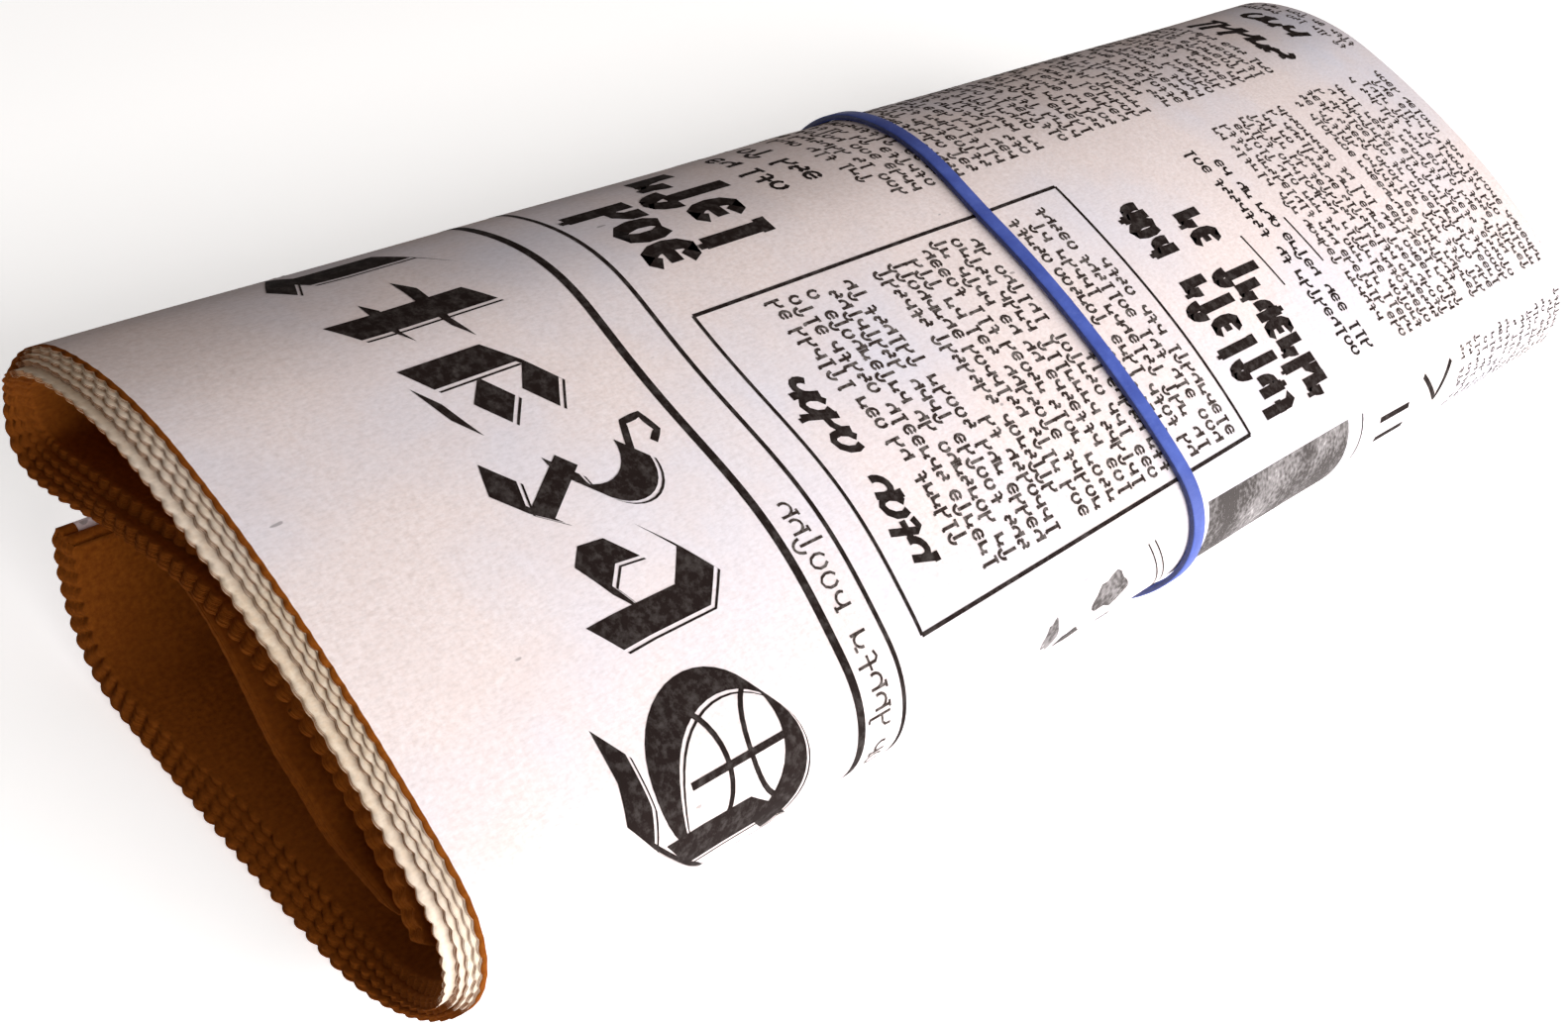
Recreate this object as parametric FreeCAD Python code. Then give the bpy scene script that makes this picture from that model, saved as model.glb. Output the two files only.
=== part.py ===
import FreeCAD, Part
import math
import os

# A broadsheet newspaper, folded across its middle, rolled up and held by a rubber band.
# Millimetres and degrees. +X runs along the roll from its open, serrated end to its
# folded end, +Z is up, and the origin is under the middle of the roll, on the surface
# that it lies on.

# The sheets
sheet_count = 8             # nested sheets, each of them four pages
paper_thickness = 0.07
layer_gap = 0.065           # air between two layers of paper
page_height = 578.0         # folded across its middle, so the roll is half of this
edge_step = 0.21            # how far each edge stands out past the edge around it

# The rolled section is a line of bends, as (length, turn) pairs. It is the outermost
# face of the paper, seen from the open end, and starts at the spine edge, which lies
# against the back of the roll.
spine_heading = -95.0       # the way the spine edge points, from +Y
back_side = (14.5, -30.0)
back_bend = (16.0, -55.0)
underside = (43.5, 0.0)
front_low_bend = (32.0, -70.0)
front_high_bend = (18.5, -84.0)
front_wall = (60.5, -19.0)
crown = (24.5, -29.0)
lobe = (23.0, -77.0)
lobe_tuck = (9.5, -95.0)
tuck_run = (25.5, -2.0)
flap = (62.5, 62.0)         # the loose page edges, curled back under the front wall
bends = [back_side, back_bend, underside, front_low_bend, front_high_bend, front_wall,
         crown, lobe, lobe_tuck, tuck_run, flap]
facet_turn = 9.0            # the most that the paper turns from one flat to the next

# The rubber band
band_width = 3.2
band_thickness = 1.0
band_clearance = 0.2        # from the paper's outer face to the band
band_place = 145.5          # from the open end to the middle of the band

# Worked out from the sizes above
layer_count = 4 * sheet_count
layer_pitch = paper_thickness + layer_gap
roll_length = page_height / 2
open_end = -roll_length / 2
fold_end = roll_length / 2


def heading_vector(degrees):
    return FreeCAD.Vector(0, math.cos(math.radians(degrees)), math.sin(math.radians(degrees)))


def section_points():
    """Points along the outermost face, from the spine edge to the loose edges."""
    point = FreeCAD.Vector(0, 0, 0)
    heading = spine_heading
    points = [point]
    for length, turn in bends:
        steps = max(1, math.ceil(abs(turn) / facet_turn))
        for step in range(steps):
            middle = heading + turn * (step + 0.5) / steps
            point = point + heading_vector(middle) * (length / steps)
            points.append(point)
        heading += turn
    return points


def facet_normals(points):
    """The normal of each facet, on the right of the way the points run."""
    normals = []
    for here, there in zip(points, points[1:]):
        along = (there - here).normalize()
        normals.append(FreeCAD.Vector(0, along.z, -along.y))
    return normals


def mitre(first, second, distance):
    """The move that keeps two facets a distance away from where they were."""
    return (first + second) * (distance / (1 + first.dot(second)))


def offset(points, distance):
    """An open line of facets, moved to the right by a distance."""
    normals = facet_normals(points)
    before = [normals[0]] + normals
    after = normals + [normals[-1]]
    return [p + mitre(a, b, distance) for p, a, b in zip(points, before, after)]


def offset_loop(points, distance):
    """A closed line of facets, moved to the right by a distance."""
    normals = facet_normals(points + points[:1])
    before = normals[-1:] + normals[:-1]
    return [p + mitre(a, b, distance) for p, a, b in zip(points, before, normals)]


def moved(points, shift):
    return [point + shift for point in points]


def turn_between(a, b, c):
    """Above zero where the line from a through b to c turns to the left."""
    return (b.y - a.y) * (c.z - b.z) - (b.z - a.z) * (c.y - b.y)


def half_hull(points):
    """One side of the tightest loop round the points, which come in order."""
    chain = []
    for point in points:
        while len(chain) > 1 and turn_between(chain[-2], chain[-1], point) > -1e-6:
            chain.pop()
        chain.append(point)
    return chain


def hull_loop(points):
    """The path that a tight band takes round the points, clockwise."""
    ordered = sorted(points, key=lambda p: (p.y, p.z))
    upper = half_hull(ordered)
    lower = half_hull(ordered[::-1])
    return upper[:-1] + lower[:-1]


def prism(points, low, high):
    """A closed outline in the section's plane, drawn out from x = low to x = high."""
    corners = moved(points, FreeCAD.Vector(low, 0, 0))
    face = Part.Face(Part.makePolygon(corners + corners[:1]))
    return face.extrude(FreeCAD.Vector(high - low, 0, 0))


def layer_depth(layer):
    """How far the outer face of a layer lies inside the roll's outermost face."""
    return (layer - 1) * layer_pitch


def open_edge(layer):
    """Where a layer ends at the open end. The middle layers stand out furthest."""
    return open_end + edge_step * max(2 * sheet_count - layer, layer - 2 * sheet_count - 1)


def between_layers(line, outer_layer, inner_layer, low, high):
    """Everything from one layer's outer face to another's inner face, from low to high."""
    outer = offset(line, layer_depth(outer_layer))
    inner = offset(line, layer_depth(inner_layer) + paper_thickness)
    return prism(outer + inner[::-1], low, high)


def make_sheet(section, sheet):
    """One sheet: two leaves, each folded across its middle, joined along the spine."""
    left_top = sheet
    right_top = 2 * sheet_count + 1 - sheet
    right_bottom = 2 * sheet_count + sheet
    left_bottom = layer_count + 1 - sheet
    left_end = fold_end - layer_depth(left_top)
    right_end = fold_end - layer_depth(right_top)
    along = (section[1] - section[0]).normalize()
    spine = section[0] + along * layer_depth(sheet)
    line = [spine] + section[1:]
    fold = [spine, spine + along * paper_thickness]
    pieces = []
    for outer, inner, end in ((left_top, left_bottom, left_end),
                              (right_top, right_bottom, right_end)):
        pieces.append(between_layers(line, outer, outer, open_edge(outer), end))
        pieces.append(between_layers(line, inner, inner, open_edge(inner), end))
        pieces.append(between_layers(line, outer, inner, end - paper_thickness, end))
    for outer, inner in ((left_top, right_top), (right_bottom, left_bottom)):
        low = max(open_edge(outer), open_edge(inner))
        pieces.append(between_layers(fold, outer, inner, low, right_end))
    return pieces[0].multiFuse(pieces[1:])


def make_band(section):
    """The rubber band, stretched round the roll."""
    loop = hull_loop(section)
    inner = offset_loop(loop, -band_clearance)
    outer = offset_loop(loop, -band_clearance - band_thickness)
    low = open_end + band_place - band_width / 2
    high = low + band_width
    return prism(outer, low, high).cut(prism(inner, low, high))


def placed_section():
    """The section, moved so that the band's underside rests at z = 0, centred in Y."""
    section = section_points()
    loop = offset_loop(hull_loop(section), -band_clearance - band_thickness)
    middle = (min(p.y for p in loop) + max(p.y for p in loop)) / 2
    lowest = min(p.z for p in loop)
    return moved(section, FreeCAD.Vector(0, -middle, -lowest))


def main():
    os.makedirs("parts", exist_ok=True)
    section = placed_section()
    for sheet in range(1, sheet_count + 1):
        make_sheet(section, sheet).exportStep("parts/sheet_%d.step" % sheet)
    make_band(section).exportStep("parts/rubber_band.step")


main()
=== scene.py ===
import math
import random
import bpy
import numpy as np
from mathutils import Matrix, Vector


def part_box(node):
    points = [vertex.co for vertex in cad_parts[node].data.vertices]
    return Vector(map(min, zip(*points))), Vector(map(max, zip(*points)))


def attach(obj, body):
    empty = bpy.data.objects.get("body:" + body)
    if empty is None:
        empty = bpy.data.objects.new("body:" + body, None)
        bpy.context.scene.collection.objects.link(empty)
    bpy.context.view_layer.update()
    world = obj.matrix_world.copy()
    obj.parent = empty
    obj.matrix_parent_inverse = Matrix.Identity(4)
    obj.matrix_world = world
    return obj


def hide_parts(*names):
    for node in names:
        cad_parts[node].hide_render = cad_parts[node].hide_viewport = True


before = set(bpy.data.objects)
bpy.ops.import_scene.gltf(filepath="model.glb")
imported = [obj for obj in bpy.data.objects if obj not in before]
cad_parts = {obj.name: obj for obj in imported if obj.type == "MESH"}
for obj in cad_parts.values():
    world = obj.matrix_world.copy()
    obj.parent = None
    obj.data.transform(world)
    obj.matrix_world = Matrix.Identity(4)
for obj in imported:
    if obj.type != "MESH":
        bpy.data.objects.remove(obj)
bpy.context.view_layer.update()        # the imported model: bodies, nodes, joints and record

mm = 0.001

# The roll's section is a line of bends, from the spine edge round to the loose page edges.
roll = {
    "spineHeading": -95.0,
    "bends": [(14.5, -30), (16, -55), (43.5, 0), (32, -70), (18.5, -84), (60.5, -19),
              (24.5, -29), (23, -77), (9.5, -95), (25.5, -2), (62.5, 62)],     # length and turn
    "easing": 2.0,          # how softly one bend runs into the next
    "easingReach": 12,      # and over how many steps each way
    "step": 0.5,
    "sheets": 8,
    "paper": 0.07,
    "pitch": 0.135,         # one layer of paper to the next
    "spineRoom": 2.3,       # where the flat of a leaf starts, past its spine fold
    "ripple": 0.088,
    # slow waves: height, length along the roll, length round it, and start
    "waves": [(1.0, 23, 31, 0.0), (0.6, 11, -17, 1.3), (0.5, 41, 9, 0.0)],
    "pinch": 0.12,          # how far the band presses the paper in
    "pinchWidth": 6.0,
}
layers = 4 * roll["sheets"]
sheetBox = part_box("sheet_1")
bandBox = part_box("rubber_band")
openX = sheetBox[0][0] / mm
foldX = sheetBox[1][0] / mm
bandX = (bandBox[0][0] + bandBox[1][0]) / 2 / mm


def smoothStep(low, high, value):
    t = np.clip((np.asarray(value, float) - low) / (high - low), 0, 1)
    return t * t * (3 - 2 * t)


def bell(value, middle, width):
    return np.exp(-((np.asarray(value, float) - middle) / width) ** 2)


def makeRollLine():
    lengths = np.array([length for length, turn in roll["bends"]], float)
    turns = np.array([turn for length, turn in roll["bends"]], float)
    starts = np.r_[0, np.cumsum(lengths)]
    headings = roll["spineHeading"] + np.r_[0, np.cumsum(turns)]
    s = np.arange(0, starts[-1] + roll["step"] / 2, roll["step"])
    heading = np.interp(s, starts, headings)
    reach = roll["easingReach"]
    kernel = np.exp(-0.5 * (np.arange(-reach, reach + 1) * roll["step"] / roll["easing"]) ** 2)
    heading = np.convolve(np.pad(heading, reach, mode="edge"), kernel / kernel.sum(), mode="valid")
    heading = np.radians(heading)
    middle = (heading[1:] + heading[:-1]) / 2
    y = np.r_[0, np.cumsum(np.cos(middle) * roll["step"])]
    z = np.r_[0, np.cumsum(np.sin(middle) * roll["step"])]
    y += (sheetBox[0][1] + sheetBox[1][1]) / 2 / mm - (y.min() + y.max()) / 2
    z += sheetBox[0][2] / mm - z.min()
    return s, y, z, heading


lineS, lineY, lineZ, lineHeading = makeRollLine()
pageWidth = lineS[-1]


def swell(s, x):
    # slow waves in the paper, and the dent that the band presses into it
    wave = sum(height * np.sin(x / along + s / around + start)
               for height, along, around, start in roll["waves"])
    return roll["ripple"] * wave - roll["pinch"] * bell(x, bandX, roll["pinchWidth"])


def onRoll(s, x, depth):
    # the place of a point s along the section, x along the roll, and depth inside its face
    s, x, depth = np.broadcast_arrays(*[np.asarray(value, float) for value in (s, x, depth)])
    past = np.clip(s - pageWidth, 0, None)
    heading = np.interp(s, lineS, lineHeading)
    inward = depth - swell(s, x)
    y = np.interp(s, lineS, lineY) + np.cos(heading) * past + np.sin(heading) * inward
    z = np.interp(s, lineS, lineZ) + np.sin(heading) * past - np.cos(heading) * inward
    return np.stack([x, y, z], -1) * mm


def newObject(name, points, faces, material, smooth=True):
    mesh = bpy.data.meshes.new(name)
    mesh.from_pydata([tuple(p) for p in points], [], faces)
    mesh.materials.append(material)
    if smooth:
        mesh.polygons.foreach_set("use_smooth", [True] * len(mesh.polygons))
    mesh.update()
    piece = bpy.data.objects.new(name, mesh)
    bpy.context.scene.collection.objects.link(piece)
    return piece


class Value:
    # a shader socket that can be added and multiplied like a number
    def __init__(self, shader, socket):
        self.shader = shader
        self.socket = socket

    def maths(self, operation, first, second):
        return self.shader.node("ShaderNodeMath", {"operation": operation}, {0: first, 1: second})

    def __add__(self, other):
        return self.maths("ADD", self, other)

    def __radd__(self, other):
        return self.maths("ADD", other, self)

    def __mul__(self, other):
        return self.maths("MULTIPLY", self, other)

    def __rmul__(self, other):
        return self.maths("MULTIPLY", other, self)


class Finish:
    def __init__(self, name):
        self.material = bpy.data.materials.new(name)
        self.material.use_nodes = True
        self.tree = self.material.node_tree
        self.tree.nodes.clear()

    def node(self, kind, settings=None, inputs=None, output=0):
        made = self.tree.nodes.new(kind)
        for key, value in (settings or {}).items():
            if key == "stops":
                ramp = made.color_ramp
                while len(ramp.elements) < len(value):
                    ramp.elements.new(0.5)
                for element, (place, colour) in zip(ramp.elements, value):
                    element.position = place
                    element.color = colour
            else:
                setattr(made, key, value)
        for key, value in (inputs or {}).items():
            if isinstance(value, Value):
                self.tree.links.new(value.socket, made.inputs[key])
            else:
                made.inputs[key].default_value = value
        return Value(self, made.outputs[output]) if len(made.outputs) else None

    def place(self, stretch):
        spot = self.node("ShaderNodeTexCoord", output="Object")
        return self.node("ShaderNodeMapping", {}, {"Vector": spot, "Scale": stretch})

    def noise(self, scale, detail=3.0, rough=0.5, stretch=(1, 1, 1)):
        return self.node("ShaderNodeTexNoise", {}, {"Vector": self.place(stretch), "Scale": scale,
                                                   "Detail": detail, "Roughness": rough})

    def ramp(self, value, stops):
        return self.node("ShaderNodeValToRGB", {"stops": stops}, {"Fac": value})

    def mask(self, value, low, high, share=1.0):
        return self.ramp(value, [(low, grey(0)), (high, grey(share))])

    def mix(self, share, first, second, blend="MIX"):
        return self.node("ShaderNodeMix", {"data_type": "RGBA", "blend_type": blend},
                         {0: share, 6: first, 7: second}, output=2)

    def surface(self, inputs, bump=None, bumpSize=0.00003, bumpStrength=0.3):
        if bump is not None:
            inputs["Normal"] = self.node("ShaderNodeBump", {}, {"Height": bump, "Distance": bumpSize,
                                                               "Strength": bumpStrength})
        shader = self.node("ShaderNodeBsdfPrincipled", {}, inputs)
        self.node("ShaderNodeOutputMaterial", {}, {"Surface": shader})
        return self.material


def grey(value):
    return (value, value, value, 1)


newsprint = {
    "front": {"light": (0.785, 0.70, 0.695, 1), "dark": (0.69, 0.585, 0.565, 1),
              "cool": (0.62, 0.63, 0.73, 1), "gloss": 0.2},
    "edge": {"light": (0.84, 0.72, 0.58, 1), "dark": (0.72, 0.56, 0.40, 1),
             "cool": (0.78, 0.68, 0.60, 1), "gloss": 0.2},
    # painted shade: this dark brown stands in for the shade inside the roll, on the inner paper and on the
    # cut edges away from the light
    "pages": {"light": (0.27, 0.076, 0.009, 1), "dark": (0.15, 0.038, 0.004, 1),
              "cool": (0.20, 0.055, 0.008, 1), "gloss": 0.03},
    "cloudScale": 26.0,
    "cloudShare": 0.75,
    "smudgeScale": 95.0,
    "smudgeShare": 0.5,
    "pulpScale": 1300.0,
    "fibreScale": 2600.0,
    "fibreShare": 0.8,
    "speckScale": 620.0,
    "speckShare": 0.7,
    "rough": (0.84, 0.12),      # the least, and what the pulp adds
}


def newsprintFinish(name, tones):
    finish = Finish(name)
    cloud = finish.noise(newsprint["cloudScale"], 4.0)
    pulp = finish.noise(newsprint["pulpScale"], 5.0, 0.65)
    fibre = finish.noise(newsprint["fibreScale"], 3.0, 0.6, (0.35, 1, 1))
    speck = finish.noise(newsprint["speckScale"], 1.0, 0.4, (0.45, 1, 1))
    smudge = finish.noise(newsprint["smudgeScale"], 4.0, 0.6)
    body = finish.mix(finish.mask(pulp, 0.32, 0.68), tones["dark"], tones["light"])
    body = finish.mix(finish.mask(cloud, 0.42, 0.72, newsprint["cloudShare"]), body, tones["cool"])
    body = finish.mix(finish.mask(smudge, 0.50, 0.80, newsprint["smudgeShare"]), body, tones["dark"])
    grain = finish.ramp(fibre, [(0.30, grey(0.88)), (0.55, grey(1.0)), (0.80, grey(1.05))])
    body = finish.mix(newsprint["fibreShare"], body, grain, "MULTIPLY")
    dirt = finish.ramp(speck, [(0.165, grey(0.35)), (0.195, grey(1))])
    body = finish.mix(newsprint["speckShare"], body, dirt, "MULTIPLY")
    least, more = newsprint["rough"]
    return finish.surface({"Base Color": body, "Roughness": least + more * pulp,
                           "Specular IOR Level": tones["gloss"]}, pulp * 0.6 + fibre * 0.4, 0.00004, 0.35)


inkLook = {
    "black": {"tone": (0.012, 0.007, 0.006, 1), "worn": 0.10},
    "body": {"tone": (0.030, 0.020, 0.017, 1), "worn": 0.40},
    "bare": (0.55, 0.50, 0.48, 1),      # what shows where the ink is worn
    "blot": (0.06, 0.04, 0.035, 1),
    "gloss": 0.08,
}


def inkFinish(name, kind):
    finish = Finish(name)
    wear = finish.noise(700.0, 5.0, 0.7)
    blot = finish.noise(90.0, 3.0)
    body = finish.mix(finish.mask(wear, 0.46, 0.78, kind["worn"]), kind["tone"], inkLook["bare"])
    body = finish.mix(finish.mask(blot, 0.5, 0.9, 0.10), body, inkLook["blot"])
    return finish.surface({"Base Color": body, "Roughness": 0.75 + 0.2 * wear,
                           "Specular IOR Level": inkLook["gloss"]}, wear)


halftone = {
    "stops": [(0.48, (0.05, 0.042, 0.04, 1)),
              (0.67, (0.24, 0.22, 0.22, 1)),
              (0.86, (0.80, 0.76, 0.74, 1))],
    "sceneScale": 75.0,
    "dotScale": 1400.0,
}


def halftoneFinish(name):
    finish = Finish(name)
    scene = finish.noise(halftone["sceneScale"], 4.0, 0.6)
    dots = finish.noise(halftone["dotScale"], 1.0, 0.3)
    tone = finish.ramp(scene * 0.75 + dots * 0.35, halftone["stops"])
    return finish.surface({"Base Color": tone, "Roughness": 0.85, "Specular IOR Level": 0.25}, dots)


rubberLook = {
    "face": ((0.030, 0.058, 0.29, 1), (0.060, 0.105, 0.42, 1)),
    # painted shade: the band's side faces get this near-black blue in place of the shade on them
    "shadedSides": ((0.010, 0.016, 0.075, 1), (0.018, 0.028, 0.12, 1)),
    "dust": (0.20, 0.26, 0.62, 1),
    "bloomScale": 160.0,
    "poreScale": 1800.0,
}


def rubberFinish(name, tones):
    finish = Finish(name)
    bloom = finish.noise(rubberLook["bloomScale"], 4.0, 0.6)
    pore = finish.noise(rubberLook["poreScale"], 3.0, 0.6, (0.3, 1, 1))
    body = finish.mix(finish.mask(bloom, 0.35, 0.75), tones[0], tones[1])
    body = finish.mix(finish.mask(pore, 0.5, 0.85, 0.18), body, rubberLook["dust"])
    return finish.surface({"Base Color": body, "Roughness": 0.42 + 0.25 * pore,
                           "Specular IOR Level": 0.45}, pore, 0.00005, 0.5)


frontPaper = newsprintFinish("newsprint_front", newsprint["front"])
edgePaper = newsprintFinish("newsprint_edge", newsprint["edge"])
# the last of these is painted shade, not a colour of the paper
shadedPagePaper = newsprintFinish("newsprint_pages", newsprint["pages"])
blackInk = inkFinish("ink_black", inkLook["black"])
bodyInk = inkFinish("ink_body", inkLook["body"])
darkPicture = halftoneFinish("halftone_dark")
blueRubber = rubberFinish("band_rubber", rubberLook["face"])
# the band's side faces get painted shade
shadedRubberSides = rubberFinish("band_rubber_painted_shade", rubberLook["shadedSides"])
print("finishes made")

# Layers are counted inwards from the outer face. The outermost four are the flap, whose loose
# end sags inside the roll, and the innermost are the core.
leaves = {
    "flapLast": 4,
    "coreFirst": 21,
    "sag": 10.5,
    "sagStart": (268, 300),
    "sagStop": (333, 309),
    "sagLess": 0.03,            # for each layer in
    "lift": 2.6,
    "liftStart": (262, 300),
    "flapEnd": (-5.0, 0.5),     # past the page's width, and what each layer adds
    "middleEnd": (-0.5, 0.05),
    "coreEnd": (0.9, 0.1),
}


def layerDepth(layer):
    return roll["paper"] / 2 + (layer - 1) * roll["pitch"]


def fanOut(layer, s):
    # the loose leaves part from each other inside the roll
    if layer <= leaves["flapLast"]:
        sag = leaves["sag"] * smoothStep(*leaves["sagStart"], s) * smoothStep(*leaves["sagStop"], s)
        return -sag * (1 - leaves["sagLess"] * layer)
    if layer >= leaves["coreFirst"]:
        return leaves["lift"] * smoothStep(*leaves["liftStart"], s)
    return np.zeros_like(s)


def leafEnd(layer):
    if layer <= leaves["flapLast"]:
        past, each = leaves["flapEnd"]
    elif layer >= leaves["coreFirst"]:
        past, each = leaves["coreEnd"]
    else:
        past, each = leaves["middleEnd"]
    return pageWidth + past + each * layer


# The serrated edges at the open end step back layer by layer, in the bundles they were cut in.
edges = {
    "frontLayers": [1, 3, 4, 6, 7, 10, 11, 16, 17, 22, 32],
    "frontSteps": [3.4, 3.4, 2.85, 2.85, 2.2, 2.15, 1.5, 1.45, -0.15, 0.0, 2.6],
    "backLayers": [1, 9, 10, 17, 18, 24, 25, 32],
    "backSteps": [3.3, 3.3, 4.2, 4.3, 5.3, 5.4, 6.5, 6.6],
    "bundles": (3, 6, 10, 16, 24, 32),      # the last layer of each
    "frontStart": (78, 118),
    "frontStop": (240, 214),
    "insideStart": (246, 262),
    "spreadStart": (22, 62),
    "spreadLeast": 0.12,
    "insideSteps": (4.4, 3.4, 5.0),         # the flap, the middle and the core
    "insideEach": 0.05,
    "middleLast": 20,
    "slip": 0.07,
    "wander": 0.12,                         # a slow wave in each edge
    "wanderLength": 13,
    "wanderEach": 0.2,                      # how it differs from layer to layer
    "tear": 5.0,                            # how far a leaf's corner is torn back
    "tearReach": 3.5,
    "tearCurve": 1.5,
    "toothPitch": 2.45,
    "toothDepth": 0.62,
    "toothMean": 0.9,
    "toothUneven": 0.25,
    "unevenLength": 7.7,
    "toothCurve": 0.8,
    "toothShift": 0.37,                     # from one bundle to the next
    "toothSlip": 0.04,
    "slipSeed": 50,
    "frontShallow": 0.3,
    "smoothFrom": (262, 270),               # the flap is cut nearly smooth
    "smoothShare": 0.85,
    "paleSpan": (104, 217),                 # where the cut edges face the light and stay pale; elsewhere they get the painted-shade brown
    "paleLast": 24,
}


def onFront(s):
    return smoothStep(*edges["frontStart"], s) * smoothStep(*edges["frontStop"], s)


def slipOf(seed, most):
    return np.random.default_rng(seed).uniform(-most, most)


def edgeMean(layer, s):
    # where a leaf's edge ends, without its teeth
    first = edges["backSteps"][0]
    inside = smoothStep(*edges["insideStart"], s)
    spread = np.maximum(smoothStep(*edges["spreadStart"], s), edges["spreadLeast"])
    behind = first + (np.interp(layer, edges["backLayers"], edges["backSteps"]) - first) * spread
    flap, middle, core = edges["insideSteps"]
    within = flap if layer <= leaves["flapLast"] else (middle if layer <= edges["middleLast"] else core)
    behind = behind * (1 - inside) + (within + edges["insideEach"] * layer) * inside
    front = np.interp(layer, edges["frontLayers"], edges["frontSteps"])
    setBack = front * onFront(s) + behind * (1 - onFront(s))
    end = leafEnd(layer)
    torn = edges["tear"] * smoothStep(end - edges["tearReach"], end, s) ** edges["tearCurve"]
    wander = edges["wander"] * np.sin(s / edges["wanderLength"] + layer * edges["wanderEach"])
    return openX + setBack + slipOf(layer, edges["slip"]) + torn + wander


def edgeX(layer, s):
    bundle = sum(layer > last for last in edges["bundles"])
    slip = slipOf(layer + edges["slipSeed"], edges["toothSlip"])
    tooth = (s / edges["toothPitch"] + edges["toothShift"] * bundle * onFront(s) + slip) % 1
    bite = np.abs(np.sin(np.pi * tooth)) ** edges["toothCurve"]
    uneven = edges["toothMean"] + edges["toothUneven"] * np.sin(s / edges["unevenLength"] + bundle)
    depth = edges["toothDepth"] * uneven * (1 - edges["frontShallow"] * onFront(s))
    if layer <= leaves["flapLast"]:
        depth = depth * (1 - edges["smoothShare"] * smoothStep(*edges["smoothFrom"], s))
    return edgeMean(layer, s) - depth * (bite - 0.5)


sheets = {
    "toothColumns": 6,      # columns of points across one tooth
    "coarse": 3,            # how many of them join into one past the edge
    "edgeRow": 0.72,        # the two rows of points behind the serrated edge
    "edgeShare": 0.2,       # how much of the teeth the first of them keeps
    "settleRow": 2.4,
    "rows": 12,
    "frontRows": 27,
    "rowCrowding": 1.1,     # rows lie closer near the edge
    "bandRows": 9,          # and these near the band, for its dent
    "bandReach": 14,
    "bandClear": 17,
    "foldSteps": 8,
    "spineSteps": 5,
}


def leafRows(count):
    # how far each row lies from the leaf's edge, as a share of the way to the fold
    even = np.linspace(0, 1, count + 1)[1:] ** sheets["rowCrowding"]
    middle = (bandX - openX) / (foldX - openX)
    reach = sheets["bandReach"]
    near = middle + np.linspace(-reach, reach, sheets["bandRows"]) / (foldX - openX)
    away = even[np.abs(even - middle) > sheets["bandClear"] / (foldX - openX)]
    return np.sort(np.r_[away, near])


def tone(layer, s, row):
    # 0 the front page, 1 the pale cut edges round the front where the light falls, 2 painted shade: the dark
    # brown of the paper inside the roll, of the cut edges elsewhere and of the front page's edge rows
    pale = edges["paleSpan"][0] < s < edges["paleSpan"][1]
    if layer == 1 and row > (0 if pale else 1):
        return 0
    return 1 if 1 < layer <= edges["paleLast"] and pale else 2


class Grid:
    # rows of points and the faces between them
    def __init__(self):
        self.points = []
        self.across = []
        self.layer = []
        self.order = []         # how many rows in from the edge
        self.faces = []

    def row(self, places, across, layer, order):
        start = len(self.points)
        self.points.extend(places)
        self.order.extend([order] * len(places))
        self.across.extend(across)
        self.layer.extend([layer] * len(places))
        return [start + i for i in range(len(places))]

    def join(self, upper, lower):
        # rows may differ in how finely they are cut
        if len(upper) == len(lower):
            self.faces += zip(upper, upper[1:], lower[1:], lower)
        elif len(upper) > len(lower):
            cut = (len(upper) - 1) // (len(lower) - 1)
            for i in range(len(lower) - 1):
                self.faces.append((*upper[i * cut:(i + 1) * cut + 1], lower[i + 1], lower[i]))
        else:
            cut = (len(lower) - 1) // (len(upper) - 1)
            for i in range(len(upper) - 1):
                self.faces.append((upper[i], upper[i + 1], *lower[i * cut:(i + 1) * cut + 1][::-1]))

    def tones(self):
        # each face takes the tone of its corner nearest the edge
        corners = [min(face, key=lambda point: self.order[point]) for face in self.faces]
        return [tone(self.layer[c], self.across[c], self.order[c]) for c in corners]


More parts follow.
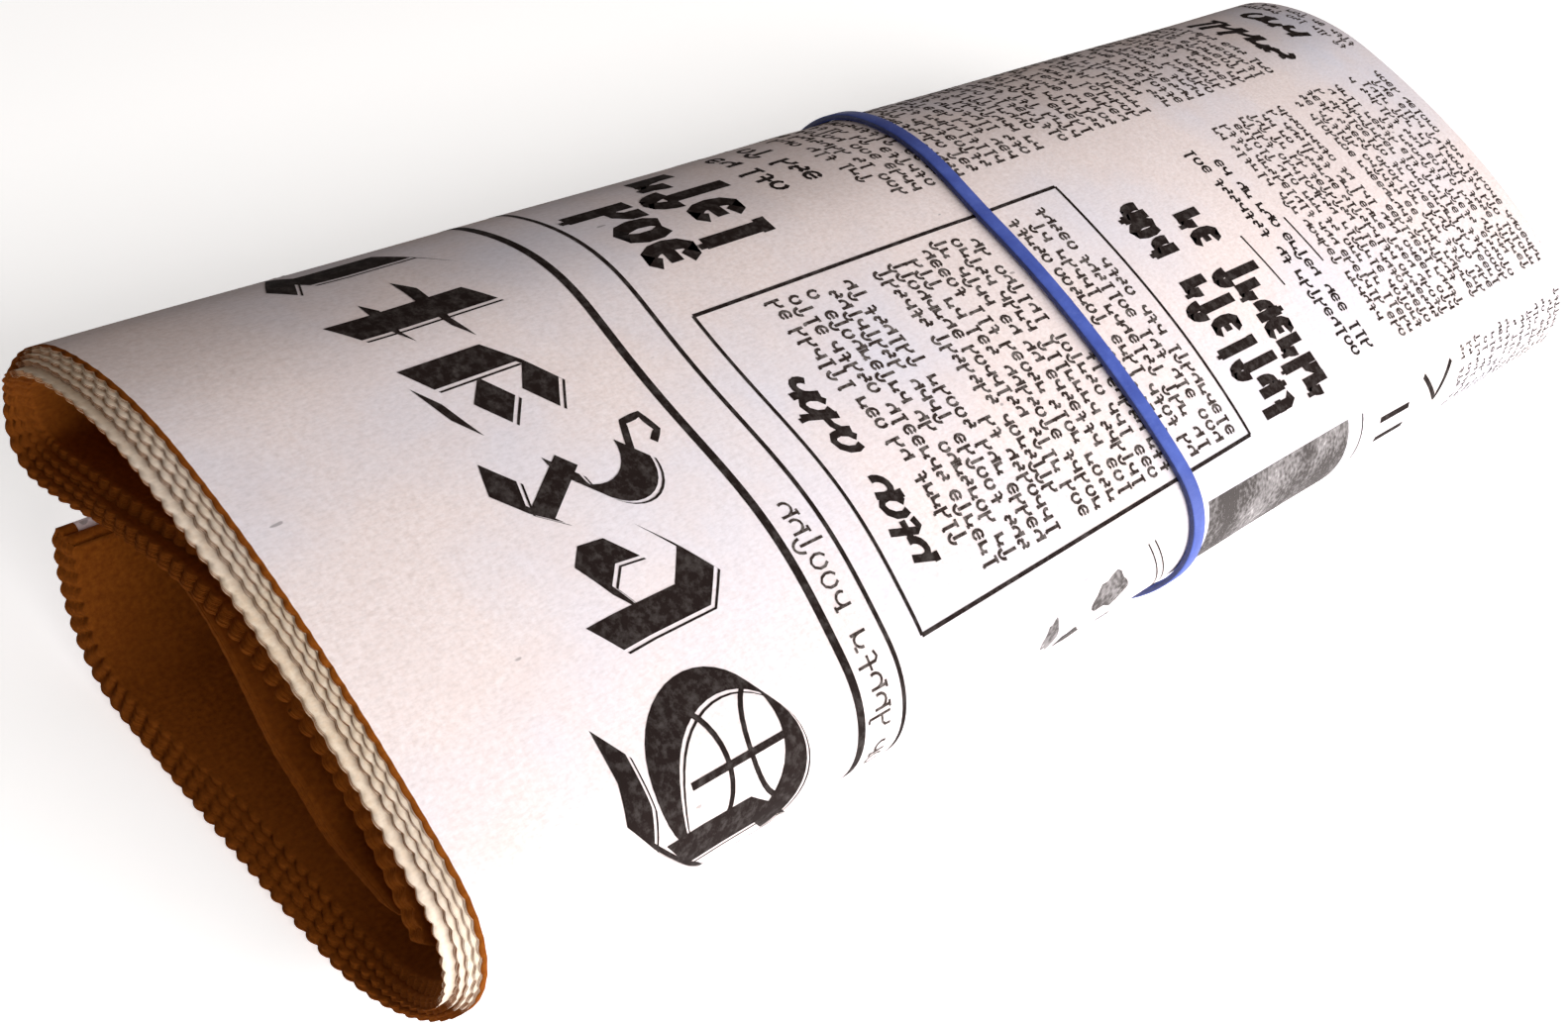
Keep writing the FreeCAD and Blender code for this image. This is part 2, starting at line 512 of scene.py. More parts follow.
def leafStrip(grid, topLayer, bottomLayer, count):
    # one leaf: down from its serrated head, round the fold across its middle, and back
    half = (layerDepth(bottomLayer) - layerDepth(topLayer)) / 2
    middle = (layerDepth(topLayer) + layerDepth(bottomLayer)) / 2
    foldMiddle = foldX - (layerDepth(layers) - layerDepth(1)) / 2
    teeth = int(round((pageWidth - roll["spineRoom"]) / edges["toothPitch"]))
    fine = np.linspace(0, 1, teeth * sheets["toothColumns"] + 1)
    coarse = fine[::sheets["coarse"]]
    middleEnd = (leafEnd(topLayer) + leafEnd(bottomLayer)) / 2

    def lay(order, layer, last, x, share, fan=1.0, depth=None):
        s = roll["spineRoom"] + share * (last - roll["spineRoom"])
        deep = layerDepth(layer) if depth is None else depth
        places = onRoll(s, x(s) if callable(x) else x, deep + fan * fanOut(layer, s))
        return grid.row(places, s, layer, order)

    def halfLeaf(layer):
        last = leafEnd(layer)
        keep = sheets["edgeShare"]

        def behindEdge(s):
            return edgeX(layer, s) * keep + edgeMean(layer, s) * (1 - keep) + sheets["edgeRow"]

        def settled(s):
            return edgeMean(layer, s) + sheets["settleRow"]

        rows = [lay(0, layer, last, lambda s: edgeX(layer, s), fine),
                lay(1, layer, last, behindEdge, fine),
                lay(2, layer, last, settled, coarse)]
        for part in leafRows(count):
            def between(s):
                return settled(s) * (1 - part) + foldMiddle * part

            rows.append(lay(3, layer, last + (middleEnd - last) * part, between, coarse, 1.0 - part * part))
        return rows

    top = halfLeaf(topLayer)
    fold = []
    for step in range(1, sheets["foldSteps"]):
        angle = math.pi * step / sheets["foldSteps"]
        fold.append(lay(3, topLayer, middleEnd, foldMiddle + half * math.sin(angle), coarse, 0.0,
                        middle - half * math.cos(angle)))
    bottom = halfLeaf(bottomLayer)
    rows = top + fold + bottom[::-1]
    for upper, lower in zip(rows, rows[1:]):
        grid.join(upper, lower)
    return top, bottom


def spineStrip(grid, outerRows, innerRows, outerLayer, innerLayer):
    # the fold along the spine, from one leaf's first column round to the other's
    half = (layerDepth(innerLayer) - layerDepth(outerLayer)) / 2
    middle = (layerDepth(innerLayer) + layerDepth(outerLayer)) / 2
    last = None
    for outer, inner in zip(outerRows, innerRows):
        x0, x1 = (grid.points[row[0]][0] / mm for row in (outer, inner))
        ids = [outer[0]]
        for step in range(1, sheets["spineSteps"]):
            angle = math.pi * step / sheets["spineSteps"]
            x = x0 + (x1 - x0) * step / sheets["spineSteps"]
            s = roll["spineRoom"] - half * math.sin(angle)
            ids += grid.row([onRoll(s, x, middle - half * math.cos(angle))], [s], outerLayer,
                            grid.order[outer[0]])
        ids.append(inner[0])
        if last:
            grid.join(last, ids)
        last = ids


def makeSheet(number):
    leftTop, rightTop = number, 2 * roll["sheets"] + 1 - number
    rightBottom, leftBottom = 2 * roll["sheets"] + number, layers + 1 - number
    grid = Grid()
    count = sheets["frontRows"] if number == 1 else sheets["rows"]
    leftRows, leftBack = leafStrip(grid, leftTop, leftBottom, count)
    rightRows, rightBack = leafStrip(grid, rightTop, rightBottom, count)
    spineStrip(grid, leftRows, rightRows, leftTop, rightTop)
    spineStrip(grid, rightBack, leftBack, rightBottom, leftBottom)
    piece = newObject("paper_sheet_%d" % number, grid.points, grid.faces, frontPaper)
    piece.data.materials.append(edgePaper)
    piece.data.materials.append(shadedPagePaper)
    piece.data.polygons.foreach_set("material_index", grid.tones())
    wall = piece.modifiers.new("paper thickness", "SOLIDIFY")
    wall.thickness = roll["paper"] * mm
    wall.offset = 0
    # the cut rims of the paper take the painted-shade brown too
    wall.material_offset_rim = 2
    return piece


paper = [makeSheet(number) for number in range(1, roll["sheets"] + 1)]
print("sheets made")

# Ink is laid out on the flat page, in millimetres across from the spine and down from the head,
# then wrapped onto the outer face. The marks are made-up shapes, not letters.
ink = {
    "head": openX + 3.3,
    "lift": 0.035,
    "rise": 0.003,          # each stroke lies a hair over the one before
    "riseMost": 0.03,
    "sway": 0.85,           # the page's lines rise and fall a little along the roll
    "swayLength": 52.0,
    "swayPlace": 144.0,
    "swaySpan": ((100, 110), (215, 205)),
    "swayEnd": (200.0, 60),
    "grain": 1.1,           # the longest piece of ink laid without a bend
    "penAngle": 36.0,
    "penReach": 1.28,
    "penMiddle": 0.55,
    "broad": ((0.0, 0.06), (0.15, 1.0)),    # a fine line, a gap, then the stroke
    "plain": ((0.0, 1.0),),
}


class Page:
    # faces laid out flat, waiting to be wrapped: across, down, and a hair apart where they cross
    def __init__(self):
        self.points = []
        self.faces = []
        self.rise = 0.0

    def add(self, points, faces):
        start = len(self.points)
        self.points.extend(points)
        self.faces.extend([tuple(start + corner for corner in face) for face in faces])

    def band(self, near, far):
        # a strip between two lines of points, cut fine enough to bend
        near, far = np.asarray(near, float), np.asarray(far, float)
        width = np.abs(far - near).max()
        cuts = max(1, int(math.ceil(width / ink["grain"])))
        count = len(near)
        points = np.concatenate([near + (far - near) * cut / cuts for cut in range(cuts + 1)])
        self.rise = (self.rise + ink["rise"]) % ink["riseMost"]
        faces = [(c * count + i, c * count + i + 1, (c + 1) * count + i + 1, (c + 1) * count + i)
                 for c in range(cuts) for i in range(count - 1)]
        self.add(np.column_stack([points, np.full(len(points), self.rise)]).tolist(), faces)

    def line(self, path, width):
        path = evenPath(path)
        along = np.gradient(path, axis=0)
        along /= np.linalg.norm(along, axis=1, keepdims=True)
        side = np.stack([-along[:, 1], along[:, 0]], -1) * width / 2
        self.band(path - side, path + side)

    def pen(self, path, nib, parts):
        # a broad pen held at a slant
        path = evenPath(path)
        angle = math.radians(ink["penAngle"])
        reach = np.array([math.cos(angle), -math.sin(angle)]) * nib * ink["penReach"]
        for low, high in parts:
            self.band(path + reach * (low - ink["penMiddle"]), path + reach * (high - ink["penMiddle"]))

    def patch(self, left, right, top, bottom):
        down = np.arange(top, bottom + 1.5, 1.5)
        self.band(np.stack([down * 0 + left, down], -1), np.stack([down * 0 + right, down], -1))

    def wrapped(self, name, material):
        flat = np.array(self.points)
        s, down, rise = flat[:, 0], flat[:, 1], flat[:, 2]
        (start, full), (stop, whole) = ink["swaySpan"]
        sway = ink["sway"] * np.cos((s - ink["swayPlace"]) * 2 * math.pi / ink["swayLength"])
        sway = sway * smoothStep(start, full, s) * smoothStep(stop, whole, s)
        sway = sway * smoothStep(*ink["swayEnd"], down)
        places = onRoll(s, ink["head"] + down + sway, -ink["lift"] - rise)
        first = np.array([face[:3] for face in self.faces])
        a, b, c = (places[first[:, i]] for i in range(3))
        heading = np.interp(s[first[:, 0]], lineS, lineHeading)
        normal = np.cross(b - a, c - a)
        inside = -np.sin(heading) * normal[:, 1] + np.cos(heading) * normal[:, 2] < 0
        faces = [face[::-1] if back else face for face, back in zip(self.faces, inside)]
        return newObject(name, places, faces, material)


def evenPath(path):
    # the same path in steps short enough to bend
    path = np.asarray(path, float)
    steps = np.linalg.norm(np.diff(path, axis=0), axis=1)
    along = np.r_[0, np.cumsum(steps)]
    stops = [along[0]]
    for a, b in zip(along, along[1:]):
        stops.extend(np.linspace(a, b, max(1, int(math.ceil((b - a) / ink["grain"]))) + 1)[1:])
    return np.stack([np.interp(stops, along, path[:, 0]), np.interp(stops, along, path[:, 1])], -1)


def arc(middle, radii, start, end, count=14):
    # part of an oval, angles from +s towards the head of the page
    angles = np.radians(np.linspace(start, end, count))
    return [(middle[0] + radii[0] * math.cos(a), middle[1] - radii[1] * math.sin(a)) for a in angles]


# Ornaments in place of a title: how each stroke is drawn, its path, and its width.
mastheadStrokes = [
    # a large opening one, with a flag, a stem and a rosette with tracery
    ("broad", [(106, 37), (111, 32), (118, 25.5), (123, 26.5), (130, 26)], 5.0),
    ("broad", [(112.5, 31), (112.6, 37), (112.4, 45.5), (109, 50)], 6.0),
    ("broad", arc((119.5, 41.5), (11.6, 10.8), 128, -158, 34), 5.0),
    ("broad", [(99, 41), (102.5, 38.5), (103, 52), (99, 56)], 4.6),
    ("line", [(120.6, 34.5), (120.6, 51.5)], 1.0),
    ("line", arc((121, 36.0), (8.5, 5.0), 200, 340), 0.8),
    ("line", arc((121, 50.0), (8.5, 5.2), 20, 160), 0.8),
    # smaller ones, stems, hooks and diamonds that spell nothing
    ("broad", [(141, 32.5), (141.2, 37), (141.2, 47.5), (145.5, 51.2), (150.5, 48)], 5.0),
    ("broad", [(143.5, 38.5), (148.6, 36.2), (151, 38.6), (150.6, 42.5)], 4.6),
    ("broad", [(166, 35), (161.4, 33.2), (158.4, 36.6)], 4.6),
    ("plain", [(158.8, 36), (164.4, 44.6)], 2.4),
    ("broad", arc((163.2, 49.0), (6.0, 5.6), 85, 262, 16), 4.6),
    ("line", [(162.4, 54.2), (166.4, 56.2), (166.6, 59.2), (163.6, 60), (162.2, 58.2)], 1.1),
    ("broad", [(182.4, 33.6), (182.4, 46.8), (178, 51), (173.8, 48.2)], 5.0),
    ("broad", [(174, 40.4), (177.6, 43.4)], 5.0),
    ("plain", [(173.6, 35.6), (180, 33.2)], 3.6),
    ("broad", [(193.4, 29.5), (193.2, 36), (193.2, 51.5)], 4.8),
    ("plain", [(187.8, 44.6), (192, 43.2), (199.6, 43.4)], 2.8),
    ("plain", [(189.6, 36.6), (192, 35.6), (197, 35.8)], 2.2),
    ("broad", [(208.5, 33), (208.2, 38), (208.2, 49), (203, 53)], 4.8),
    ("broad", [(206.2, 30), (212, 33.8), (216, 30.6)], 3.6),
    ("broad", [(218, 34), (222, 38), (222.5, 52), (226, 60)], 4.8),
]
itemBox = [(122.8, 78.8), (177.8, 78.8), (177.8, 164.5), (124.6, 164.5), (122.8, 78.8)]
ruleStrokes = [
    ("line", [(2, 64.2), (243, 64.2)], 1.45),
    ("line", [(2, 72.8), (243, 72.8)], 0.8),
    *[("line", [start, end], 0.65) for start, end in zip(itemBox, itemBox[1:])],
    ("line", [(144.5, 197.6), (156, 196.2)], 0.45),
    ("line", [(145.5, 212.4), (156, 211.2)], 0.45),
    ("line", [(109, 198), (118, 198.2)], 0.4),
    *[("line", [(across, 205), (across - 0.2, 215.8)], 1.2) for across in (104.5, 110.6, 114.6)],
    ("line", [(118.2, 221.4), (112.4, 226.6), (118.4, 232.2)], 1.2),
    ("line", [(105.4, 221), (105.2, 232)], 1.2),
    *[("line", [(100, 141 + drop), (108, 136.6 + drop), (117.4, 131 + drop)], 0.3) for drop in (0.0, 1.8)],
]


def drawStrokes(name, strokes):
    page = Page()
    for kind, path, width in strokes:
        if kind == "line":
            page.line(path, width)
        else:
            page.pen(path, width, ink[kind])
    return page.wrapped(name, blackInk)


def bow(middle, radii, start, end):
    # a curved stroke of a mark, its height counted upwards
    return [(x, 2 * middle[1] - y) for x, y in arc(middle, radii, -start, -end, 9)]


marks = {
    # strokes of each made-up mark, on a square one high from the baseline up
    "shapes": [
        [[(0.16, 1), (0.16, 0)], bow((0.5, 0.36), (0.34, 0.36), 180, 400), [(0, 1), (0.3, 1)]],
        [bow((0.46, 0.5), (0.36, 0.5), -140, 150), [(0.1, 0.52), (0.66, 0.52)]],
        [[(0.42, 1.5), (0.42, 0)], [(0.12, 0), (0.75, 0)], [(0.22, 1.5), (0.45, 1.5)]],
        [bow((0.48, 0.45), (0.33, 0.45), 180, 360), [(0.82, 1), (0.82, 0)], [(0.02, 1), (0.3, 1)]],
        [bow((0.5, 0.75), (0.32, 0.25), 190, -80), bow((0.5, 0.25), (0.34, 0.25), 100, 340)],
        [[(0.38, 1.35), (0.38, 0.2), (0.55, 0.02), (0.85, 0.12)], [(0.05, 0.6), (0.78, 0.6)]],
        [[(0.5, 1.05), (0.5, -0.45)], bow((0.5, 0.85), (0.37, 0.6), 185, 355)],
        [[(0.8, 1.45), (0.8, 0)], [(0.8, 0.58), (0.4, 0.55), (0.17, 0.35), (0.15, 0)],
         [(0.6, 1.45), (0.8, 1.45)]],
        [[(0.16, 0), (0.16, 1)], bow((0.5, 0.6), (0.34, 0.4), 170, -30), [(0, 0), (0.34, 0)]],
        [bow((0.5, 0.5), (0.36, 0.5), 120, 430)],
    ],
    "rise": 0.004,
    "advance": 0.98,            # all of these in mark heights
    "uneven": (0.9, 1.05),
    "space": 0.75,
    "spaceUneven": (0.8, 1.5),
    "indent": 2.6,
    "ragged": 0.4,
    "shortBy": (0.2, 0.7),      # of the line's length
    "words": (2, 3, 3, 4, 5, 6, 7, 9),
}


def makeMark(name, strokes, text):
    points, faces = [], []
    for order, stroke in enumerate(strokes):
        path = np.asarray(stroke, float) * (text.get("narrow", 1.0), 1)
        rise = marks["rise"] * order
        path[:, 0] += text.get("slant", 0.0) * path[:, 1]
        along = np.gradient(path, axis=0)
        along /= np.linalg.norm(along, axis=1, keepdims=True)
        side = np.stack([-along[:, 1], along[:, 0]], -1) * text["weight"] / 2
        start, count = len(points), len(path)
        points += [(x, -y, rise) for x, y in path - side] + [(x, -y, rise) for x, y in path + side]
        faces += [(start + i, start + i + 1, start + count + i + 1, start + count + i)
                  for i in range(count - 1)]
    mesh = bpy.data.meshes.new(name)
    mesh.from_pydata(points, [], faces)
    return bpy.data.objects.new(name, mesh)


def lineEnd(block, row, rng):
    if row in block.get("shortRows", ()):
        return block["right"] - rng.uniform(*marks["shortBy"]) * (block["right"] - block["left"])
    return block["right"] - rng.uniform(0, marks["ragged"]) * block["size"]


def layText(blocks, rng):
    # where each mark of each line starts, with the gaps between words
    spots, sizes = [], []
    for block in blocks:
        size, left = block["size"], block["left"]
        words = block.get("words", marks["words"])
        for row in range(block.get("rows", 1)):
            base = block["top"] + row * block.get("pitch", 0) + size
            across = left + (marks["indent"] * size if row in block.get("indents", ()) else 0)
            end = lineEnd(block, row, rng)
            while across < end - size:
                for letter in range(rng.choice(words)):
                    if across > end - size:
                        break
                    spots.append((across, base + block.get("slope", 0) * (across - left), 0))
                    sizes.append(size)
                    step = size * marks["advance"] * rng.uniform(*marks["uneven"])
                    across += step * block.get("spread", 1)
                across += size * marks["space"] * rng.uniform(*marks["spaceUneven"])
    return spots, sizes


def makeMarkTree():
    tree = bpy.data.node_groups.new("set marks", "GeometryNodeTree")
    for name, kind in (("Geometry", "NodeSocketGeometry"), ("Marks", "NodeSocketCollection"),
                       ("Count", "NodeSocketInt"), ("Seed", "NodeSocketInt"), ("Ink", "NodeSocketMaterial")):
        tree.interface.new_socket(name, in_out="INPUT", socket_type=kind)
    tree.interface.new_socket("Geometry", in_out="OUTPUT", socket_type="NodeSocketGeometry")
    give = tree.nodes.new("NodeGroupInput")
    take = tree.nodes.new("NodeGroupOutput")
    pool = tree.nodes.new("GeometryNodeCollectionInfo")
    pool.inputs["Separate Children"].default_value = True
    pool.inputs["Reset Children"].default_value = True
    pick = tree.nodes.new("FunctionNodeRandomValue")
    pick.data_type = "INT"
    last = tree.nodes.new("ShaderNodeMath")
    last.operation = "SUBTRACT"
    last.inputs[1].default_value = 1
    size = tree.nodes.new("GeometryNodeInputNamedAttribute")
    size.inputs["Name"].default_value = "size"
    place = tree.nodes.new("GeometryNodeInstanceOnPoints")
    place.inputs["Pick Instance"].default_value = True
    real = tree.nodes.new("GeometryNodeRealizeInstances")
    cover = tree.nodes.new("GeometryNodeSetMaterial")
    for start, end in ((give.outputs["Geometry"], place.inputs["Points"]),
                       (give.outputs["Marks"], pool.inputs["Collection"]),
                       (pool.outputs[0], place.inputs["Instance"]),
                       (give.outputs["Count"], last.inputs[0]),
                       (last.outputs[0], pick.inputs[5]),       # the whole-number maximum
                       (give.outputs["Seed"], pick.inputs["Seed"]),
                       (pick.outputs[2], place.inputs["Instance Index"]),
                       (size.outputs[0], place.inputs["Scale"]),
                       (place.outputs[0], real.inputs[0]),
                       (real.outputs[0], cover.inputs["Geometry"]),
                       (give.outputs["Ink"], cover.inputs["Material"]),
                       (cover.outputs[0], take.inputs[0])):
        tree.links.new(start, end)
    return tree


markTree = makeMarkTree()


def printText(name, text):
    pool = bpy.data.collections.new(name + "_marks")
    kit = [makeMark("%s_mark_%d" % (name, i), shape, text) for i, shape in enumerate(marks["shapes"])]
    for mark in kit:
        pool.objects.link(mark)
    spots, sizes = layText(text["blocks"], random.Random(text["seed"]))
    mesh = bpy.data.meshes.new(name + "_spots")
    mesh.from_pydata(spots, [], [])
    mesh.attributes.new("size", "FLOAT", "POINT").data.foreach_set("value", sizes)
    holder = bpy.data.objects.new(name + "_spots", mesh)
    bpy.context.scene.collection.objects.link(holder)
    setter = holder.modifiers.new("set marks", "NODES")
    setter.node_group = markTree
    wanted = {"Marks": pool, "Count": len(kit), "Seed": text["seed"], "Ink": text["ink"]}
    for socket in markTree.interface.items_tree:
        if socket.in_out == "INPUT" and socket.name in wanted:
            setter[socket.identifier] = wanted[socket.name]
    flat = bpy.data.meshes.new_from_object(holder.evaluated_get(bpy.context.evaluated_depsgraph_get()))
    page = Page()
    page.add([tuple(v.co) for v in flat.vertices], [tuple(f.vertices) for f in flat.polygons])
    for used in [holder] + kit:
        bpy.data.objects.remove(used)
    bpy.data.collections.remove(pool)
    return page.wrapped(name, text["ink"])


# What is set in made-up marks. A block is one line unless it has rows and a pitch.
texts = {
    "print_headlines": {"weight": 0.29, "narrow": 0.60, "ink": blackInk, "seed": 6, "blocks": [
        {"left": 187, "right": 216, "top": 79.5, "size": 8.6, "spread": 0.76, "words": (6,)},
        {"left": 187, "right": 216, "top": 94.5, "size": 8.6, "spread": 0.76, "words": (6,)},
    ]},
    "print_titles": {"weight": 0.27, "narrow": 0.44, "ink": blackInk, "seed": 5, "blocks": [
        {"left": 125, "right": 177, "top": 173.0, "size": 6.9, "spread": 0.60, "slope": -0.03,
         "words": (5, 6, 7)},
        {"left": 125, "right": 170, "top": 185.2, "size": 6.9, "spread": 0.60, "slope": -0.03,
         "words": (5, 6, 7)},
        {"left": 12, "right": 92, "top": 82, "rows": 2, "pitch": 12, "size": 6.9, "spread": 0.60},
    ]},
    "print_italics": {"weight": 0.29, "slant": 0.28, "ink": blackInk, "seed": 8, "blocks": [
        {"left": 130.5, "right": 170, "top": 83.6, "size": 4.2, "spread": 0.86, "words": (4,)},
        {"left": 187, "right": 214, "top": 254.5, "size": 5.4, "spread": 0.9},
        {"left": 192, "right": 214, "top": 268, "size": 5.4, "spread": 0.9},
    ]},
    "print_subheads": {"weight": 0.25, "ink": blackInk, "seed": 3, "blocks": [
        {"left": 195, "right": 222, "top": 112.4, "size": 3.0},
        {"left": 195, "right": 220, "top": 120.0, "size": 3.0},
        {"left": 127.5, "right": 177.5, "top": 203.0, "size": 2.1, "slope": -0.03},
        {"left": 127.5, "right": 174.5, "top": 207.6, "size": 2.1, "slope": -0.03},
    ]},
    "print_tagline": {"weight": 0.15, "ink": bodyInk, "seed": 2, "blocks": [
        {"left": 106, "right": 151, "top": 67.0, "size": 2.9, "spread": 1.05},
    ]},
    "print_columns": {"weight": 0.265, "ink": bodyInk, "seed": 12, "blocks": [
        {"left": 126, "right": 176.5, "top": 92.4, "rows": 19, "pitch": 3.72, "size": 2.0,
         "indents": (0, 6, 14), "shortRows": (5, 13, 18), "spread": 1.06},
        {"left": 126.5, "right": 179.5, "top": 216.0, "rows": 20, "pitch": 3.3, "size": 1.75,
         "indents": (0, 9, 16), "shortRows": (8, 15), "slope": -0.03, "spread": 1.06},
        {"left": 186, "right": 240, "top": 128.5, "rows": 33, "pitch": 3.7, "size": 1.95,
         "indents": (0, 12, 21), "shortRows": (11, 20, 32), "spread": 1.06},
        {"left": 106, "right": 120.5, "top": 236.5, "rows": 14, "pitch": 3.3, "size": 1.4, "spread": 1.06},
        {"left": 186, "right": 214, "top": 277, "rows": 2, "pitch": 3.4, "size": 1.6},
    ]},
    "print_back": {"weight": 0.265, "ink": bodyInk, "seed": 21, "blocks": [
        {"left": 8, "right": 50, "top": 112, "rows": 46, "pitch": 3.6, "size": 1.7, "spread": 1.06,
         "indents": (0, 9, 22, 31), "shortRows": (8, 21, 30)},
        {"left": 55, "right": 95, "top": 112, "rows": 46, "pitch": 3.6, "size": 1.7, "spread": 1.06,
         "indents": (0, 14, 25), "shortRows": (13, 24, 40)},
    ]},
}

pictures = {
    "left": 96.0,
    "right": 118.4,
    "top": 148.2,
    "bottom": 193.0,
    "slant": 0.07,
    "strip": 1.5,
    "overlap": 0.05,
    # soft dark spots of a paler picture: across, down, half width, half height
    "spots": ((111, 107, 3.0, 1.8), (113, 121.5, 2.9, 4.4), (107.5, 113, 1.6, 3.0), (104.5, 124, 2.0, 2.6)),
    "spotRings": 4,
    "spotPoints": 25,
    "spotWaves": ((0.2, 5), (0.16, 3)),     # how far the rim waves in and out, and how often
}


def makePictures():
    page = Page()
    for top in np.arange(pictures["top"], pictures["bottom"], pictures["strip"]):
        slant = pictures["slant"] * (top - pictures["top"])
        page.patch(pictures["left"] + slant, pictures["right"], top, top + pictures["overlap"])
    spots = Page()
    rings = pictures["spotRings"]
    (wideWave, wideCount), (tallWave, tallCount) = pictures["spotWaves"]
    for across, down, wide, tall in pictures["spots"]:
        turn = np.linspace(0, 2 * math.pi, pictures["spotPoints"])
        rim = np.stack([wide * np.cos(turn) * (1 + wideWave * np.sin(wideCount * turn)),
                        tall * np.sin(turn) * (1 + tallWave * np.cos(tallCount * turn))], -1)
        for ring in range(rings):
            spots.band(rim * ring / rings + (across, down), rim * (ring + 1) / rings + (across, down))
    return page.wrapped("print_picture", darkPicture), spots.wrapped("print_spots", darkPicture)


printed = [drawStrokes("print_masthead", mastheadStrokes), drawStrokes("print_rules", ruleStrokes)]
printed += [printText(name, text) for name, text in texts.items()]
printed += makePictures()
print("print laid")

band = {
    "width": 3.2,
    "thickness": 1.0,
    "clearance": 0.2,
    "corner": 0.3,
    "cornerSteps": 3,
    "pieces": 260,
    "smoothings": 3,
    "stray": 1.2,           # how far it sits along the roll from its middle
    "lean": 5.0,            # and how much more of that on the lobe's side
    "leanSpan": (5, 45),
    "sideFacing": 0.8,      # faces turned this far to the side take the painted-shade finish
}


def outerHull(points):
    points = sorted(set(map(tuple, np.round(points, 4))))
    half = []
    for run in (points, points[::-1]):
        line = []
        for p in run:
            while len(line) > 1 and ((line[-1][0] - line[-2][0]) * (p[1] - line[-2][1])
                                     - (line[-1][1] - line[-2][1]) * (p[0] - line[-2][0])) <= 0:
                line.pop()
            line.append(p)
        half += line[:-1]
    return np.array(half)


def bandPath():
    # stretched straight across the roll's hollows
    hull = outerHull(np.stack([lineY, lineZ], -1))
    loop = np.vstack([hull, hull[:1]])
    along = np.r_[0, np.cumsum(np.linalg.norm(np.diff(loop, axis=0), axis=1))]
    stops = np.linspace(0, along[-1], band["pieces"], endpoint=False)
    path = np.stack([np.interp(stops, along, loop[:, 0]), np.interp(stops, along, loop[:, 1])], -1)
    for turn in range(band["smoothings"]):
        path = path * 0.5 + np.roll(path, 1, 0) * 0.25 + np.roll(path, -1, 0) * 0.25
    return path


def bandProfile():
    # the rounded strip's section: along the roll, and out from it
    corner, half, tall = band["corner"], band["width"] / 2, band["thickness"]
    profile = []
    for x, d, start in ((half - corner, corner, -90), (half - corner, tall - corner, 0),
                        (-half + corner, tall - corner, 90), (-half + corner, corner, 180)):
        for step in range(band["cornerSteps"] + 1):
            a = math.radians(start + 90 * step / band["cornerSteps"])
            profile.append((x + corner * math.cos(a), d + corner * math.sin(a)))
    return profile


def makeBand():
    path, profile = bandPath(), bandProfile()
    ahead = np.roll(path, -1, 0) - np.roll(path, 1, 0)
    ahead /= np.linalg.norm(ahead, axis=1, keepdims=True)
    out = np.stack([ahead[:, 1], -ahead[:, 0]], -1)
    lean = band["stray"] + band["lean"] * smoothStep(*band["leanSpan"], path[:, 0])
    points, faces, size = [], [], len(profile)
    for i, (spot, way) in enumerate(zip(path, out)):
        for x, d in profile:
            y, z = spot + way * (d + band["clearance"])
            points.append(Vector((bandX + x + lean[i], y, z)) * mm)
    for i in range(len(path)):
        near, far = i * size, (i + 1) % len(path) * size
        for j in range(size):
            k = (j + 1) % size
            faces.append((near + j, near + k, far + k, far + j))
    piece = newObject("rubber_loop", points, faces, blueRubber)
    piece.data.materials.append(shadedRubberSides)
    # side faces get the painted-shade finish
    shadedSides = [abs(face.normal.x) > band["sideFacing"] for face in piece.data.polygons]
    piece.data.polygons.foreach_set("material_index", shadedSides)
    return piece


rubber = makeBand()
print("band made")

view = {
    "place": (-0.24497, -0.12966, 0.20467),
    "azimuth": 31.714,      # the way it looks, from +X towards +Y
    "tilt": -38.66,
    "roll": 20.05,
    "lens": 45.16,
    "sensor": 36,
    "nearest": 0.01,
}


def makeCamera():
    azimuth, tilt = math.radians(view["azimuth"]), math.radians(view["tilt"])
    level = math.cos(tilt)
    ahead = Vector((level * math.cos(azimuth), level * math.sin(azimuth), math.sin(tilt)))
    right = ahead.cross(Vector((0, 0, 1))).normalized()
    right = Matrix.Rotation(math.radians(-view["roll"]), 3, ahead) @ right
    up = right.cross(ahead)
    camera = bpy.data.cameras.new("camera")
    camera.lens = view["lens"]
    camera.sensor_width = view["sensor"]
    camera.clip_start = view["nearest"]
    holder = bpy.data.objects.new("camera", camera)
    turn = Matrix((right, up, -ahead)).transposed().to_4x4()
    holder.matrix_world = Matrix.Translation(view["place"]) @ turn
    bpy.context.scene.collection.objects.link(holder)
    bpy.context.scene.camera = holder


floor = {
    "half": 40.0,
    "tones": ((0.88, 0.88, 0.88, 1), (0.91, 0.91, 0.91, 1)),
    "glow": 0.60,
}


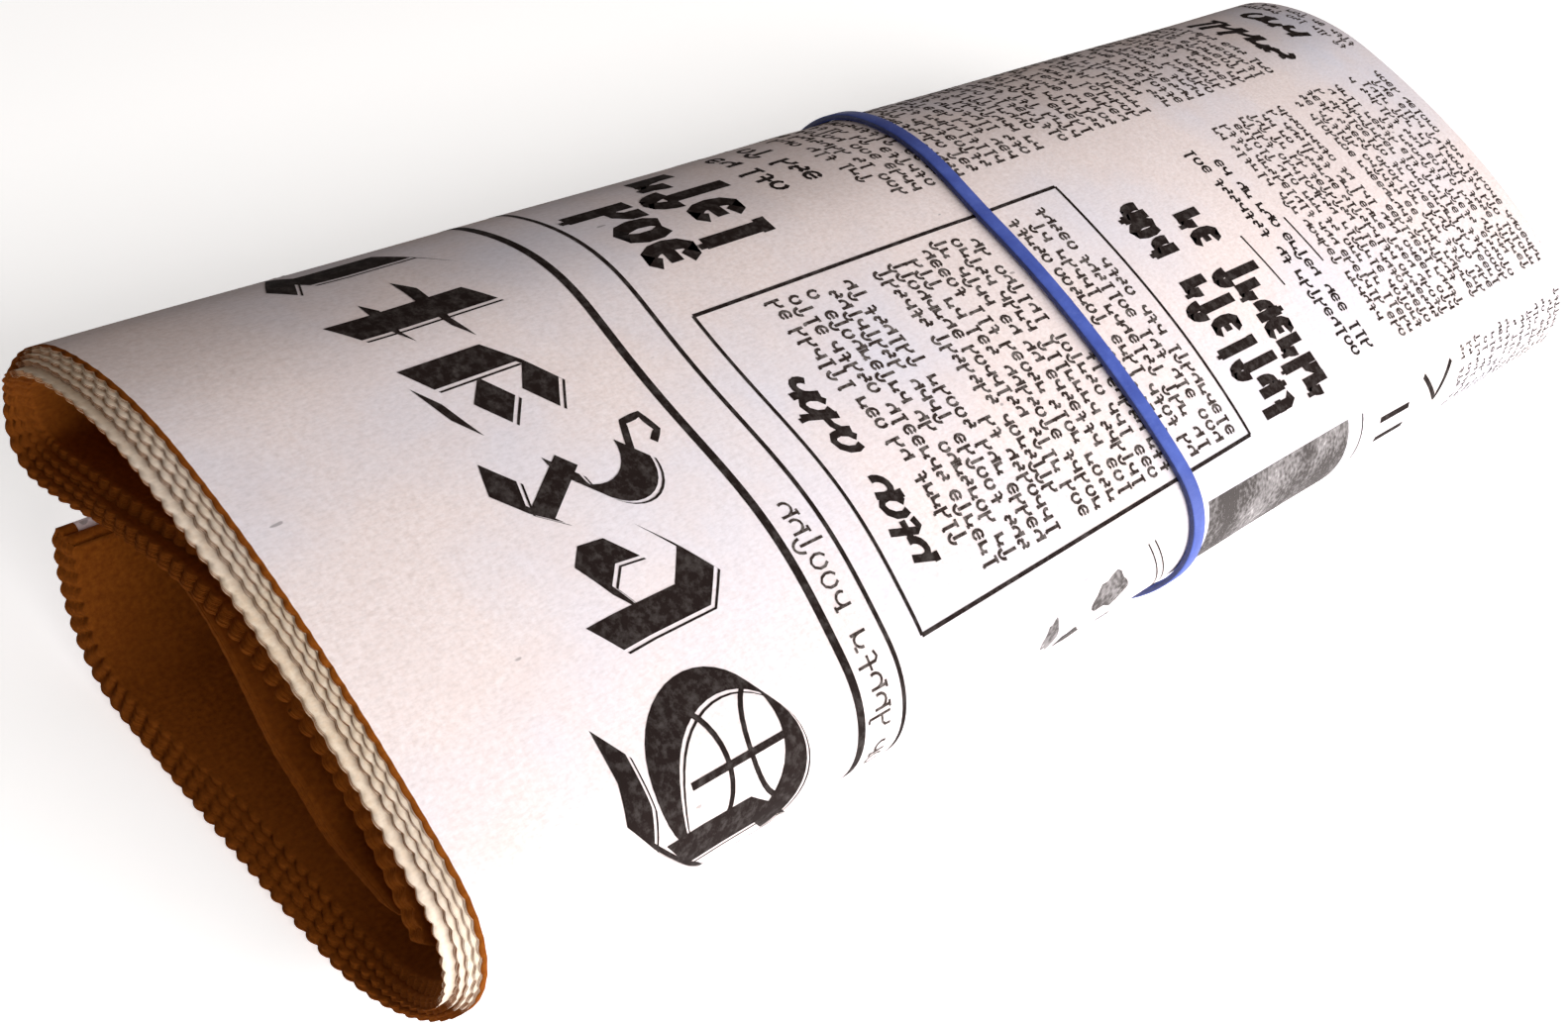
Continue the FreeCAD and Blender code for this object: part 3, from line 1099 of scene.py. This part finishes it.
def makeFloor():
    finish = Finish("floor")
    body = finish.mix(finish.noise(3.0, 2.0), *floor["tones"])
    material = finish.surface({"Base Color": body, "Roughness": 0.9, "Specular IOR Level": 0.1,
                               "Emission Color": (1, 1, 1, 1), "Emission Strength": floor["glow"]})
    half = floor["half"]
    corners = [(-half, -half, 0), (half, -half, 0), (half, half, 0), (-half, half, 0)]
    newObject("floor", corners, [(0, 1, 2, 3)], material, False)


lights = {
    "key": {"place": (0.03, -0.31, 0.28), "aim": (0.0, 0.0, 0.03), "size": (0.75, 0.14), "power": 2.25,
            "colour": (1.0, 0.985, 0.975)},
    "low": {"place": (0.05, -0.32, 0.09), "aim": (0.02, 0.0, 0.03), "size": (0.7, 0.08), "power": 1.5,
            "colour": (0.97, 0.985, 1.0)},
    "fill": {"place": (0.5, 0.25, 0.6), "aim": (0.05, 0, 0.02), "size": (0.4, 0.4), "power": 0.35,
             "colour": (1.0, 0.93, 0.88)},
}
room = {
    "colour": (1.0, 0.82, 0.69, 1),
    "strength": 0.10,
}


def makeLight(name, look):
    light = bpy.data.lights.new(name, "AREA")
    light.shape = "RECTANGLE"
    light.size, light.size_y = look["size"]
    light.energy = look["power"]
    light.color = look["colour"]
    holder = bpy.data.objects.new(name, light)
    holder.location = look["place"]
    ahead = Vector(look["aim"]) - Vector(look["place"])
    holder.rotation_euler = ahead.to_track_quat("-Z", "Y").to_euler()
    bpy.context.scene.collection.objects.link(holder)


def makeRoom():
    world = bpy.data.worlds.new("studio")
    world.use_nodes = True
    background = world.node_tree.nodes["Background"]
    background.inputs["Color"].default_value = room["colour"]
    background.inputs["Strength"].default_value = room["strength"]
    bpy.context.scene.world = world
    bpy.context.scene.view_settings.view_transform = "Standard"


makeCamera()
makeFloor()
for name, look in lights.items():
    makeLight(name, look)
makeRoom()
print("stage made")

for number, piece in enumerate(paper, 1):
    node = "sheet_%d" % number
    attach(piece, "newspaper")
    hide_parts(node)
for piece in printed:
    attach(piece, "newspaper")
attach(rubber, "rubber_band")
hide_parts("rubber_band")
